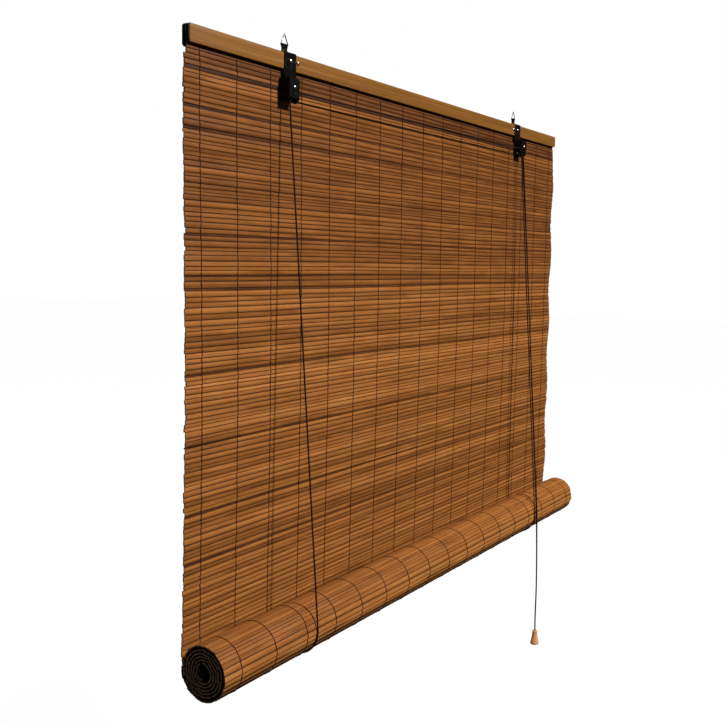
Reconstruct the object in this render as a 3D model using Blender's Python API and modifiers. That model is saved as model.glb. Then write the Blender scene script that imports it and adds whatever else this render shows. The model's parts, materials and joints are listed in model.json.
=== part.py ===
"""Roll-up blind of woven wood slats, raised by two cords that run through a pulley and a cord lock.

Metres, +Z up.  X runs along the head rail, +Y points to the window behind the blind.
The origin is the hanging point: midway between the two wire rings, inside their crowns,
where the wall hooks bear.
"""
import math

import bmesh
import bpy
from mathutils import Matrix, Vector

# ---- driving dimensions -------------------------------------------------------------------
# Head rail: two battens that clamp the top edge of the woven curtain between them.
RAIL_LENGTH = 1.200
FRONT_BATTEN_THICK = 0.0044
FRONT_BATTEN_HEIGHT = 0.0228
REAR_BATTEN_THICK = 0.0045
REAR_BATTEN_HEIGHT = 0.0280
BATTEN_CORNER = 0.0040
BATTEN_EDGE = 0.0007

# Woven curtain: the hanging stretch, and the stretch that is rolled up in front of it.
CURTAIN_WIDTH = 1.208
ROLL_WIDTH = 1.220
CURTAIN_THICK = 0.0018
SLAT_PITCH = 0.0066
SLAT_GROOVE = 0.0004
HANGING_DROP = 0.8258          # rail top to the axis of the roll
ROLL_RADIUS = 0.0389           # outermost turn, where it meets the hanging curtain
TURN_PITCH = 0.0044            # how much each loose turn adds to the roll's radius
ROLL_TURNS = 6.2
BOTTOM_BATTEN_WIDTH = 0.016
BOTTOM_BATTEN_THICK = 0.0045

# Hanging rings, and the eye of each strap that holds one.
RING_WIRE = 0.0016
RING_WIDTH = 0.0190
RING_RISE = 0.0145             # bar axis to the inside of the crown
RING_CORNER = 0.0010
BAR_OVER_RAIL = 0.0130
RING_SETBACK = 0.0100          # rail front to the plane of the rings
EYE_WIDTH = 0.0135
EYE_NECK = 0.0115
EYE_SHELL = 0.0009

# Steel straps folded over the rail, one at each bracket.
BRACKET_X = {"left": -0.3948, "right": 0.3885}
STRAP_WIDTH = 0.027
STRAP_THICK = 0.0010
STRAP_BEND = 0.0008            # outer radius of its folds
STRAP_FRONT_LEG = 0.050
STRAP_REAR_LEG = 0.014
STRAP_SCREW_DROP = 0.0105
RAIL_SCREW_OFFSET = 0.0190     # towards the middle of the blind from the strap screw

# Folded steel boxes that hold the pulleys; the right one also holds the cord lock.
HOUSING_OFFSET = 0.0062        # outwards from the middle of the strap
HOUSING_WIDTH = 0.0240
HOUSING_THICK = 0.0010
CHAMBER_DEPTH = 0.0104
HOUSING_TOP = 0.0320
FRONT_PLATE_END = 0.0590
CHEEK_END = 0.0655
FRAME_RIVET_DROP = 0.0445
PULLEY_DROP = 0.0542
LOCK_ROLLER_DROP = 0.0584
HOUSING_DROP = {"left": 0.0040, "right": 0.0}
LOBE_START = 0.0046            # behind the front plate, where the cheeks' lower edge is lowest
LOBE_END = 0.0101
GATE_RADIUS = 0.0020           # round notch in the inner cheek, where the cords pass

# Pulleys with two lanes, one cord in each, and the brake roller of the lock.
PULLEY_RADIUS = 0.0060
PULLEY_GROOVE = 0.0043
PULLEY_WIDTH = 0.0056
PULLEY_FLANGE = 0.0007
LANE_SPACING = 0.0021
AXLE_RADIUS = 0.0012
AXLE_SHOULDER = 0.0017
AXLE_RIM = 0.0022              # its flat heads
GROOVE_SLOPE = 0.0002
LOCK_ROLLER_RADIUS = 0.0018
LOCK_PIN_RADIUS = 0.0010
LOCK_PIN_RIM = 0.0017
FLAT_HEAD_HEIGHT = 0.0006
HEAD_TAPER = 0.8               # outer face of a flat head, as a share of its rim

# Domed screws and rivets.
SCREW_HEAD_RADIUS = 0.0034
SCREW_HEAD_HEIGHT = 0.0023
SCREW_SHANK_RADIUS = 0.0013
SCREW_POINT = 0.0010
ANCHOR_SCREW_HEAD = 0.75       # the anchors' screws have smaller heads
RIVET_HEAD_RADIUS = 0.0029
RIVET_HEAD_HEIGHT = 0.0018
RIVET_SHANK_RADIUS = 0.0014
RIVET_TAIL_HEIGHT = 0.0012

# Cords.
CORD_DIAMETER = 0.0017
FRONT_STRAND_X = {"left": -0.4090, "right": 0.3870}
ANCHOR_SIZE = (0.0120, 0.0065, 0.0090)
ANCHOR_DROP = 0.0190
ANCHOR_EDGE = 0.0008
ANCHOR_SCREW_BITE = 0.0033     # into the rear batten
ANCHOR_CORD_LEAD = 0.0040      # straight stretch of cord under an anchor
KNOT_RADIUS = 0.0022

# Turned wooden knob on the pull cords.
KNOB_TOP = (0.4030, -0.0860, -1.1122)
KNOB_HEIGHT = 0.0310
KNOB_OUTLINE = [               # radius, and share of the height from the top
    (0.0043, 0.0), (0.0054, 0.04), (0.0054, 0.16), (0.0060, 0.40), (0.0078, 0.66),
    (0.0090, 0.88), (0.0086, 1.0)]
KNOB_BORE = 0.0021
KNOB_CUP_RADIUS = 0.0044
KNOB_CUP_DEPTH = 0.0150
KNOB_KNOT_RADIUS = 0.0034

# Clearances.
SEAT = 0.0003                  # between pieces that touch
RUNNING = 0.00015              # round a turning shaft
SHANK_GAP = 0.0003             # round a screw or a rivet
CUT_REACH = 0.0010             # how far a cutter runs past the face that it opens

TURN_STEPS = 20
CORNER_STEPS = 4
FREE_CORD_SPACING = 0.0105

# ---- places worked out from the sizes -----------------------------------------------------
CORD_RADIUS = CORD_DIAMETER / 2
RAIL_TOP = -(RING_RISE + BAR_OVER_RAIL)
BAR_Z = -RING_RISE
FRONT_Y = -RING_SETBACK
BATTEN_BACK_Y = FRONT_Y + FRONT_BATTEN_THICK
CURTAIN_FRONT_Y = BATTEN_BACK_Y + SEAT
CURTAIN_BACK_Y = CURTAIN_FRONT_Y + CURTAIN_THICK
REAR_FRONT_Y = CURTAIN_BACK_Y + SEAT
REAR_BACK_Y = REAR_FRONT_Y + REAR_BATTEN_THICK
STRAP_FACE_Y = FRONT_Y - SEAT - STRAP_THICK
HOUSING_BACK_Y = STRAP_FACE_Y - SEAT
PLATE_INNER_Y = HOUSING_BACK_Y - HOUSING_THICK - CHAMBER_DEPTH
PLATE_FACE_Y = PLATE_INNER_Y - HOUSING_THICK
PULLEY_Y = PLATE_INNER_Y + SEAT + PULLEY_WIDTH / 2
LANE_Y = {"front": PULLEY_Y - LANE_SPACING / 2, "rear": PULLEY_Y + LANE_SPACING / 2}
WRAP_RADIUS = PULLEY_GROOVE + RUNNING + CORD_RADIUS
LOCK_ROLLER_Y = HOUSING_BACK_Y - HOUSING_THICK - SEAT - LOCK_ROLLER_RADIUS
ROLL_AXIS_Y = CURTAIN_BACK_Y - ROLL_RADIUS
ROLL_AXIS_Z = RAIL_TOP - HANGING_DROP
SLING_RADIUS = ROLL_RADIUS + SEAT + CORD_RADIUS
ANCHOR_Y = REAR_BACK_Y + SEAT + ANCHOR_SIZE[1] / 2
ANCHOR_TOP = RAIL_TOP - ANCHOR_DROP
OUTWARDS = {"left": -1.0, "right": 1.0}
HOUSING_X = {side: BRACKET_X[side] + OUTWARDS[side] * HOUSING_OFFSET for side in OUTWARDS}


def below(side, drop):
    """Height of a housing feature that lies this far under the rail's top."""
    return RAIL_TOP - HOUSING_DROP[side] - drop


# The two free pull cords, from the lock down to the front of the roll, and on to the knob.
# x, y, z chosen by hand along each cord's middle.
TAIL_ROUTES = {
    "right_tail_upper": [
        (0.4000, -0.02095, -0.0820), (0.3999, -0.0219, -0.0960), (0.3995, -0.0263, -0.1510),
        (0.3988, -0.0376, -0.2910), (0.3977, -0.0540, -0.4970), (0.3968, -0.0700, -0.6980),
        (0.3963, -0.0795, -0.8160), (0.3961, -0.08255, -0.8531)],
    "left_tail_upper": [
        (0.4000, -0.01885, -0.0820), (0.3999, -0.0200, -0.0960), (0.4001, -0.0246, -0.1510),
        (0.4008, -0.0362, -0.2910), (0.4008, -0.0531, -0.4970), (0.4001, -0.0696, -0.6980),
        (0.3997, -0.0795, -0.8160), (0.3995, -0.08255, -0.8531)],
    "right_tail_lower": [
        (0.3961, -0.08255, -0.8535), (0.3965, -0.0830, -0.8760), (0.3983, -0.0838, -0.9100),
        (0.4003, -0.0845, -0.9500), (0.4016, -0.0851, -0.9900), (0.4008, -0.0860, -1.0250),
        (0.4001, -0.0861, -1.0630), (0.4012, -0.0858, -1.0940), (0.40208, -0.0860, -1.1110),
        (0.40208, -0.0860, -1.1275)],
    "left_tail_lower": [
        (0.3995, -0.08255, -0.8535), (0.3995, -0.0830, -0.8760), (0.4007, -0.0838, -0.9100),
        (0.4024, -0.0845, -0.9500), (0.4036, -0.0851, -0.9900), (0.4029, -0.0860, -1.0250),
        (0.4023, -0.0861, -1.0630), (0.4033, -0.0858, -1.0940), (0.40392, -0.0860, -1.1110),
        (0.40392, -0.0860, -1.1275)],
}

# Colour, roughness and metallic value of each finish.
FINISHES = {
    "rail wood": ((0.330, 0.170, 0.065), 0.48, 0.0),
    "stained wood": ((0.060, 0.032, 0.018), 0.60, 0.0),
    "slat wood": ((0.270, 0.110, 0.038), 0.50, 0.0),
    "black steel": ((0.010, 0.010, 0.011), 0.40, 0.6),
    "nickel": ((0.700, 0.690, 0.670), 0.20, 1.0),
    "black nylon": ((0.015, 0.014, 0.014), 0.45, 0.0),
    "cord": ((0.030, 0.016, 0.011), 0.80, 0.0),
    "pale wood": ((0.640, 0.340, 0.140), 0.45, 0.0),
}


# ---- helpers ------------------------------------------------------------------------------
def clear_scene():
    for stale in list(bpy.data.objects):
        bpy.data.objects.remove(stale, do_unlink=True)


def new_collection(name):
    collection = bpy.data.collections.new(name)
    bpy.context.scene.collection.children.link(collection)
    return collection


def finished(name, finish):
    """A material of its own for one piece."""
    colour, roughness, metallic = FINISHES[finish]
    material = bpy.data.materials.new(name + "_finish")
    material.use_nodes = True
    shader = material.node_tree.nodes["Principled BSDF"]
    shader.inputs["Base Color"].default_value = (*colour, 1.0)
    shader.inputs["Roughness"].default_value = roughness
    shader.inputs["Metallic"].default_value = metallic
    return material


def add_piece(name, data, finish, place=(0.0, 0.0, 0.0), parent=None):
    """Put a mesh or a curve into the blind, or among the cutters where it has no finish."""
    piece = bpy.data.objects.new(name, data)
    piece.location = place
    if finish is None:
        CUTTERS.objects.link(piece)
        piece.hide_render = True
        piece.display_type = "WIRE"
        return piece
    PARTS.objects.link(piece)
    data.materials.append(finished(name, finish))
    if parent is not None:
        piece.parent = parent
        piece.matrix_parent_inverse = Matrix.Translation(parent.location).inverted()
    return piece


def pivot(name, place):
    """An empty on a joint's axis, which carries the pieces that move together."""
    empty = bpy.data.objects.new(name, None)
    empty.location = place
    PARTS.objects.link(empty)
    return empty


def box(name, low, high, finish=None, parent=None):
    low, high = Vector(low), Vector(high)
    mesh = bpy.data.meshes.new(name)
    bm = bmesh.new()
    bmesh.ops.create_cube(bm, size=1.0, matrix=Matrix.Diagonal((*(high - low), 1.0)))
    bm.to_mesh(mesh)
    bm.free()
    return add_piece(name, mesh, finish, (low + high) / 2, parent)


def rounded(corners, steps=CORNER_STEPS):
    """Closed outline through (a, b, radius) corners, each turned with an arc of its radius."""
    outline = []
    for index, (a, b, radius) in enumerate(corners):
        here = Vector((a, b))
        before = (Vector(corners[index - 1][:2]) - here).normalized()
        after = (Vector(corners[(index + 1) % len(corners)][:2]) - here).normalized()
        if radius == 0.0:
            outline.append(here)
            continue
        half = before.angle(after) / 2
        centre = here + (before + after).normalized() * (radius / math.sin(half))
        first = here + before * (radius / math.tan(half)) - centre
        turn = first.angle_signed(here + after * (radius / math.tan(half)) - centre)
        for step in range(steps + 1):
            angle = -turn * step / steps
            outline.append(centre + Matrix.Rotation(angle, 2) @ first)
    return outline


# How an outline's own axes lie in the blind, by the plane that it is drawn in.
PLANES = {
    "YZ": Matrix(((0, 0, 1), (1, 0, 0), (0, 1, 0))),
    "XZ": Matrix(((1, 0, 0), (0, 0, -1), (0, 1, 0))),
}


def outline_solid(name, loops, width, plane, finish=None, place=(0.0, 0.0, 0.0), parent=None):
    """A flat outline, with any holes, given a width across its plane."""
    curve = bpy.data.curves.new(name + "_outline", "CURVE")
    curve.dimensions = "2D"
    curve.fill_mode = "BOTH"
    curve.extrude = width / 2
    for loop in loops:
        spline = curve.splines.new("POLY")
        spline.points.add(len(loop) - 1)
        for point, (a, b) in zip(spline.points, loop):
            point.co = (a, b, 0.0, 1.0)
        spline.use_cyclic_u = True
    drawing = bpy.data.objects.new(name + "_outline", curve)
    CUTTERS.objects.link(drawing)
    bpy.context.view_layer.update()
    evaluated = drawing.evaluated_get(bpy.context.evaluated_depsgraph_get())
    mesh = bpy.data.meshes.new_from_object(evaluated)
    bpy.data.objects.remove(drawing, do_unlink=True)
    mesh.transform(PLANES[plane].to_4x4())
    bm = bmesh.new()
    bm.from_mesh(mesh)
    bmesh.ops.remove_doubles(bm, verts=bm.verts, dist=1e-6)
    bm.to_mesh(mesh)
    bm.free()
    mesh.name = name
    return add_piece(name, mesh, finish, place, parent)


# Turned pieces are drawn upright; these turn their top to face the named way.
FACING = {
    "up": Matrix.Identity(4),
    "front": Matrix.Rotation(math.radians(90), 4, "X"),
    "back": Matrix.Rotation(math.radians(-90), 4, "X"),
    "right": Matrix.Rotation(math.radians(90), 4, "Y"),
}


def turned(name, profile, facing, finish=None, place=(0.0, 0.0, 0.0), parent=None, ring=False):
    """A lathe profile of (radius, height) points, from the top down its outer side."""
    mesh = bpy.data.meshes.new(name)
    bm = bmesh.new()
    corners = [bm.verts.new((radius, 0.0, height)) for radius, height in profile]
    for start, end in zip(corners, corners[1:]):
        bm.edges.new((start, end))
    if ring:
        bm.edges.new((corners[-1], corners[0]))
    bm.to_mesh(mesh)
    bm.free()
    piece = add_piece(name, mesh, finish, place, parent)
    piece.rotation_euler = FACING[facing].to_euler()
    screw = piece.modifiers.new("turning", "SCREW")
    screw.steps = TURN_STEPS
    screw.render_steps = TURN_STEPS
    screw.use_merge_vertices = True
    screw.merge_threshold = 0.00001
    return piece


def tube(name, route, radius, finish="cord", parent=None, closed=False):
    """A round cord or wire along a route of points in the blind's own frame."""
    origin = parent.location.copy() if parent is not None else Vector()
    curve = bpy.data.curves.new(name, "CURVE")
    curve.dimensions = "3D"
    curve.bevel_depth = radius
    curve.bevel_resolution = 2
    curve.use_fill_caps = not closed
    spline = curve.splines.new("POLY")
    spline.points.add(len(route) - 1)
    for point, place in zip(spline.points, route):
        point.co = (*(Vector(place) - origin), 1.0)
    spline.use_cyclic_u = closed
    return add_piece(name, curve, finish, origin, parent)


def smooth_route(points, spacing):
    """Even points along the smooth curve that passes through the chosen ones."""
    chosen = [Vector(point) for point in points]
    ends = [2 * chosen[0] - chosen[1]] + chosen + [2 * chosen[-1] - chosen[-2]]
    route = []
    for a, b, c, d in zip(ends, ends[1:], ends[2:], ends[3:]):
        pieces = max(1, round((c - b).length / spacing))
        for step in range(pieces):
            t = step / pieces
            route.append(0.5 * (2 * b + (c - a) * t + (2 * a - 5 * b + 4 * c - d) * t ** 2
                                + (3 * b - a - 3 * c + d) * t ** 3))
    route.append(chosen[-1])
    return route


def cut(piece, cutter):
    boolean = piece.modifiers.new("cut", "BOOLEAN")
    boolean.operation = "DIFFERENCE"
    boolean.object = cutter


def join(piece, addition):
    boolean = piece.modifiers.new("join", "BOOLEAN")
    boolean.operation = "UNION"
    boolean.object = addition


def soften(piece, width, segments=2):
    bevel = piece.modifiers.new("soften", "BEVEL")
    bevel.width = width
    bevel.segments = segments
    bevel.limit_method = "ANGLE"
    bevel.angle_limit = math.radians(50)


def plug(radius, half):
    """Profile of a plain cylinder, with half its length on each side of its middle."""
    return [(0.0, half), (radius, half), (radius, -half), (0.0, -half)]


def drill(name, radius, start_y, end_y, x, z):
    """A cutter for a round hole from front to back."""
    profile = plug(radius, (end_y - start_y) / 2)
    return turned(name, profile, "front", None, (x, (start_y + end_y) / 2, z))


def ball(radius, steps=8):
    """Profile of a sphere."""
    return [(radius * math.sin(math.pi * step / steps), radius * math.cos(math.pi * step / steps))
            for step in range(steps + 1)]


def dome(radius, height, steps=4):
    """Profile of a domed head, from its crown down to its rim."""
    return [(radius * math.sin(math.pi / 2 * step / steps),
             height * math.cos(math.pi / 2 * step / steps)) for step in range(steps + 1)]


# ---- head rail ----------------------------------------------------------------------------
def batten(name, height, thick, y_front, top, finish):
    half = RAIL_LENGTH / 2
    corners = [(-half, -height / 2, BATTEN_CORNER), (half, -height / 2, BATTEN_CORNER),
               (half, height / 2, BATTEN_CORNER), (-half, height / 2, BATTEN_CORNER)]
    place = (0.0, y_front + thick / 2, top - height / 2)
    piece = outline_solid(name, [rounded(corners)], thick, "XZ", finish, place)
    soften(piece, BATTEN_EDGE)
    return piece


def head_rail():
    front = batten("front_batten", FRONT_BATTEN_HEIGHT, FRONT_BATTEN_THICK, FRONT_Y, RAIL_TOP,
                   "rail wood")
    rear = batten("rear_batten", REAR_BATTEN_HEIGHT, REAR_BATTEN_THICK, REAR_FRONT_Y, RAIL_TOP,
                  "stained wood")
    return front, rear


def hanging_curtain():
    """Woven slats from the rail down to the roll, grooved between one slat and the next."""
    top = RAIL_TOP - SEAT
    bottom = ROLL_AXIS_Z + SEAT
    slats = round((top - bottom) / SLAT_PITCH)
    pitch = (top - bottom) / slats
    front, back = [(CURTAIN_FRONT_Y, top)], [(CURTAIN_BACK_Y, top)]
    for slat in range(1, slats):
        for line, y, inwards in ((front, CURTAIN_FRONT_Y, 1.0), (back, CURTAIN_BACK_Y, -1.0)):
            line.append((y, top - (slat - 0.5) * pitch))
            line.append((y + inwards * SLAT_GROOVE, top - slat * pitch))
    front.append((CURTAIN_FRONT_Y, bottom))
    back.append((CURTAIN_BACK_Y, bottom))
    return outline_solid("curtain_hanging", [front + back[::-1]], CURTAIN_WIDTH, "YZ", "slat wood")


# ---- brackets -----------------------------------------------------------------------------
def strap(side):
    """Steel strap folded over the rail, with a necked eye on top for the ring's bar."""
    name = side + "_strap"
    x = BRACKET_X[side]
    outer_back = REAR_BACK_Y + SEAT + STRAP_THICK
    over, under = RAIL_TOP + SEAT + STRAP_THICK, RAIL_TOP + SEAT
    front_end = below(side, STRAP_FRONT_LEG)
    rear_end = RAIL_TOP - STRAP_REAR_LEG
    corners = [(STRAP_FACE_Y, front_end, 0.0), (STRAP_FACE_Y + STRAP_THICK, front_end, 0.0),
               (STRAP_FACE_Y + STRAP_THICK, under, 0.0),
               (outer_back - STRAP_THICK, under, 0.0),
               (outer_back - STRAP_THICK, rear_end, 0.0), (outer_back, rear_end, 0.0),
               (outer_back, over, STRAP_BEND), (STRAP_FACE_Y, over, STRAP_BEND)]
    piece = outline_solid(name, [rounded(corners)], STRAP_WIDTH, "YZ", "black steel", (x, 0, 0))

    bore = RING_WIRE / 2 + RUNNING
    shell = bore + EYE_SHELL
    barrel = [(shell * math.cos(math.radians(a)), BAR_Z + shell * math.sin(math.radians(a)))
              for a in range(-60, 241, 20)]
    foot = [(-shell / 2, under + STRAP_THICK / 2), (shell / 2, under + STRAP_THICK / 2)]
    hole = [(bore * math.cos(math.radians(a)), BAR_Z + bore * math.sin(math.radians(a)))
            for a in range(0, 360, 24)]
    eye = outline_solid(name + "_eye", [foot + barrel, hole], EYE_WIDTH, "YZ", None, (x, 0, 0))
    neck_z = (over + BAR_Z) / 2
    bite = (BAR_Z - over) / 2 + (EYE_WIDTH - EYE_NECK) / 4
    for sign in (-1.0, 1.0):
        place = (x + sign * (EYE_NECK / 2 + bite), 0.0, neck_z)
        profile = [(0.0, shell * 2), (bite, shell * 2), (bite, -shell * 2), (0.0, -shell * 2)]
        cut(eye, turned(name + "_neck", profile, "front", None, place))
    join(piece, eye)

    # The leg is notched on its inner side, where the housing's inner cheek goes past it.
    cheek_face = HOUSING_X[side] - OUTWARDS[side] * (HOUSING_WIDTH / 2 - HOUSING_THICK - SEAT)
    strap_edge = x - OUTWARDS[side] * (STRAP_WIDTH / 2 + HOUSING_THICK)
    low = (min(cheek_face, strap_edge), STRAP_FACE_Y - HOUSING_THICK, front_end - HOUSING_THICK)
    high = (max(cheek_face, strap_edge), STRAP_FACE_Y + STRAP_THICK + HOUSING_THICK,
            below(side, HOUSING_TOP) + SEAT)
    cut(piece, box(name + "_notch", low, high))
    return piece


def ring(side):
    """Triangular wire ring whose lower bar turns in the strap's eye."""
    axis = pivot(side + "_ring_pivot", (BRACKET_X[side], 0.0, BAR_Z))
    half = RING_WIDTH / 2 - RING_WIRE / 2
    corners = [(-half, 0.0, RING_CORNER), (half, 0.0, RING_CORNER),
               (0.0, RING_RISE + RING_WIRE / 2 + RING_CORNER * 0.8, RING_CORNER)]
    route = [(BRACKET_X[side] + a, 0.0, BAR_Z + b) for a, b in rounded(corners, 5)]
    return tube(side + "_ring", route, RING_WIRE / 2, "nickel", axis, closed=True)


def housing(side):
    """Folded box open above, below and behind: a front plate, a back plate and two cheeks."""
    name = {"left": "left_pulley_housing", "right": "right_lock_housing"}[side]
    x = HOUSING_X[side]
    top, bottom = below(side, HOUSING_TOP), below(side, CHEEK_END)
    plate_end = below(side, FRONT_PLATE_END)
    cheek_back = CURTAIN_FRONT_Y - SEAT
    corners = [(cheek_back, top, 0.0), (PLATE_FACE_Y, top, 0.0), (PLATE_FACE_Y, plate_end, 0.001),
               (PLATE_FACE_Y + LOBE_START, bottom, 0.004),
               (PLATE_FACE_Y + LOBE_END, bottom, 0.004),
               (cheek_back, plate_end, 0.002)]
    piece = outline_solid(name, [rounded(corners)], HOUSING_WIDTH, "YZ", "black steel", (x, 0, 0))
    half = HOUSING_WIDTH / 2 - HOUSING_THICK
    low, high = bottom - CUT_REACH, top + CUT_REACH
    chamber = box(name + "_chamber", (x - half, PLATE_INNER_Y, low),
                  (x + half, HOUSING_BACK_Y - HOUSING_THICK, high))
    recess = box(name + "_recess", (x - half, HOUSING_BACK_Y, low),
                 (x + half, cheek_back + CUT_REACH, high))
    cut(piece, chamber)
    cut(piece, recess)
    front, back = PLATE_FACE_Y - CUT_REACH, HOUSING_BACK_Y + CUT_REACH
    cut(piece, drill(name + "_rivet_hole", RIVET_SHANK_RADIUS + SHANK_GAP, front, back,
                     x, below(side, FRAME_RIVET_DROP)))
    cut(piece, drill(name + "_axle_hole", AXLE_RADIUS + RUNNING, front, back,
                     x, below(side, PULLEY_DROP)))
    gate_place = (x - OUTWARDS[side] * HOUSING_WIDTH / 2, LANE_Y["rear"],
                  below(side, PULLEY_DROP) + WRAP_RADIUS)
    cut(piece, turned(name + "_cord_gate", plug(GATE_RADIUS, HOUSING_THICK + CUT_REACH), "right",
                      None, gate_place))
    if side == "right":
        pin_hole = plug(LOCK_PIN_RADIUS + RUNNING, HOUSING_WIDTH / 2 + CUT_REACH)
        cut(piece, turned(name + "_pin_hole", pin_hole, "right", None,
                          (x, LOCK_ROLLER_Y, below(side, LOCK_ROLLER_DROP))))
    return piece


def screw(name, x, z, head_seat_y, length, facing="front", head=1.0):
    """Domed screw with a tapered point."""
    profile = dome(SCREW_HEAD_RADIUS * head, SCREW_HEAD_HEIGHT * head)
    profile += [(SCREW_SHANK_RADIUS, 0.0), (SCREW_SHANK_RADIUS, -length + SCREW_POINT),
                (0.0, -length)]
    return turned(name, profile, facing, "nickel", (x, head_seat_y, z))


def frame_rivet(side):
    """Rivet that ties the front plate, the back plate and the strap together."""
    tail_y = STRAP_FACE_Y + STRAP_THICK + SEAT
    seat_y = PLATE_FACE_Y - SEAT
    length = tail_y - seat_y
    tail_end = -length - RIVET_TAIL_HEIGHT
    profile = dome(RIVET_HEAD_RADIUS, RIVET_HEAD_HEIGHT)
    profile += [(RIVET_SHANK_RADIUS, 0.0), (RIVET_SHANK_RADIUS, -length),
                (RIVET_HEAD_RADIUS, -length), (RIVET_HEAD_RADIUS * HEAD_TAPER, tail_end),
                (0.0, tail_end)]
    place = (HOUSING_X[side], seat_y, below(side, FRAME_RIVET_DROP))
    return turned(side + "_frame_rivet", profile, "front", "nickel", place)


def pulley_axle(side):
    """Shouldered axle: thin in the plates and the pulley, thicker behind the pulley."""
    seat_y = PLATE_FACE_Y - SEAT
    shoulder = PULLEY_Y + PULLEY_WIDTH / 2 + SEAT - seat_y
    back_plate = HOUSING_BACK_Y - HOUSING_THICK - SEAT - seat_y
    end = HOUSING_BACK_Y + SEAT - seat_y
    face = AXLE_RIM * HEAD_TAPER
    profile = [(0.0, FLAT_HEAD_HEIGHT), (face, FLAT_HEAD_HEIGHT), (AXLE_RIM, 0.0),
               (AXLE_RADIUS, 0.0), (AXLE_RADIUS, -shoulder), (AXLE_SHOULDER, -shoulder),
               (AXLE_SHOULDER, -back_plate), (AXLE_RADIUS, -back_plate), (AXLE_RADIUS, -end),
               (AXLE_RIM, -end), (face, -end - FLAT_HEAD_HEIGHT), (0.0, -end - FLAT_HEAD_HEIGHT)]
    place = (HOUSING_X[side], seat_y, below(side, PULLEY_DROP))
    return turned(side + "_pulley_axle", profile, "front", "black steel", place)


def pulley(side):
    centre = (HOUSING_X[side], PULLEY_Y, below(side, PULLEY_DROP))
    half, bore = PULLEY_WIDTH / 2, AXLE_RADIUS + RUNNING
    groove_half = half - PULLEY_FLANGE
    lip = groove_half + GROOVE_SLOPE
    profile = [(PULLEY_RADIUS, half), (PULLEY_RADIUS, lip), (PULLEY_GROOVE, groove_half),
               (PULLEY_GROOVE, -groove_half), (PULLEY_RADIUS, -lip), (PULLEY_RADIUS, -half),
               (bore, -half), (bore, half)]
    return turned(side + "_pulley", profile, "front", "black nylon", centre, ring=True)


def lock_roller():
    """Brake roller of the cord lock, in one piece with the pin that turns in the cheeks."""
    place = (HOUSING_X["right"], LOCK_ROLLER_Y, below("right", LOCK_ROLLER_DROP))
    cheek = HOUSING_WIDTH / 2
    barrel = cheek - HOUSING_THICK - SEAT
    head = cheek + SEAT
    end = head + FLAT_HEAD_HEIGHT
    profile = [(0.0, end), (LOCK_PIN_RIM * HEAD_TAPER, end), (LOCK_PIN_RIM, head),
               (LOCK_PIN_RADIUS, head), (LOCK_PIN_RADIUS, barrel), (LOCK_ROLLER_RADIUS, barrel)]
    mirrored = [(radius, -height) for radius, height in reversed(profile)]
    return turned("lock_roller", profile + mirrored, "right", "nickel", place)


def bracket(side, front, rear, curtain):
    x = BRACKET_X[side]
    strap_piece = strap(side)
    ring(side)
    housing(side)
    frame_rivet(side)
    pulley_axle(side)
    pulley(side)
    hole = SCREW_SHANK_RADIUS + SHANK_GAP
    screw_z = RAIL_TOP - STRAP_SCREW_DROP
    strap_seat = STRAP_FACE_Y - SEAT
    strap_depth = BATTEN_BACK_Y - SEAT - SCREW_POINT - strap_seat
    screw(side + "_strap_screw", x, screw_z, strap_seat, strap_depth)
    strap_hole = drill(side + "_strap_screw_hole", hole, STRAP_FACE_Y - CUT_REACH,
                       BATTEN_BACK_Y + SEAT / 2, x, screw_z)
    cut(strap_piece, strap_hole)
    cut(front, strap_hole)
    rivet_hole = drill(side + "_strap_rivet_hole", RIVET_SHANK_RADIUS + SHANK_GAP,
                       STRAP_FACE_Y - CUT_REACH, STRAP_FACE_Y + STRAP_THICK + CUT_REACH,
                       HOUSING_X[side], below(side, FRAME_RIVET_DROP))
    cut(strap_piece, rivet_hole)

    rail_x = x - OUTWARDS[side] * RAIL_SCREW_OFFSET
    rail_seat = FRONT_Y - SEAT
    rail_end = REAR_BACK_Y - SCREW_POINT
    screw(side + "_rail_screw", rail_x, screw_z, rail_seat, rail_end - SHANK_GAP - rail_seat)
    rail_hole = drill(side + "_rail_screw_hole", hole, FRONT_Y - CUT_REACH, rail_end,
                      rail_x, screw_z)
    for clamped in (front, curtain, rear):
        cut(clamped, rail_hole)


# ---- cords --------------------------------------------------------------------------------
def pulley_arc(side, lane, start, end, steps=6):
    """Points of a cord round a pulley, between two angles from its outer side."""
    centre = Vector((HOUSING_X[side], LANE_Y[lane], below(side, PULLEY_DROP)))
    points = []
    for step in range(steps + 1):
        angle = math.radians(start + (end - start) * step / steps)
        points.append(centre + WRAP_RADIUS * Vector((math.cos(angle), 0.0, math.sin(angle))))
    return points


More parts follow.
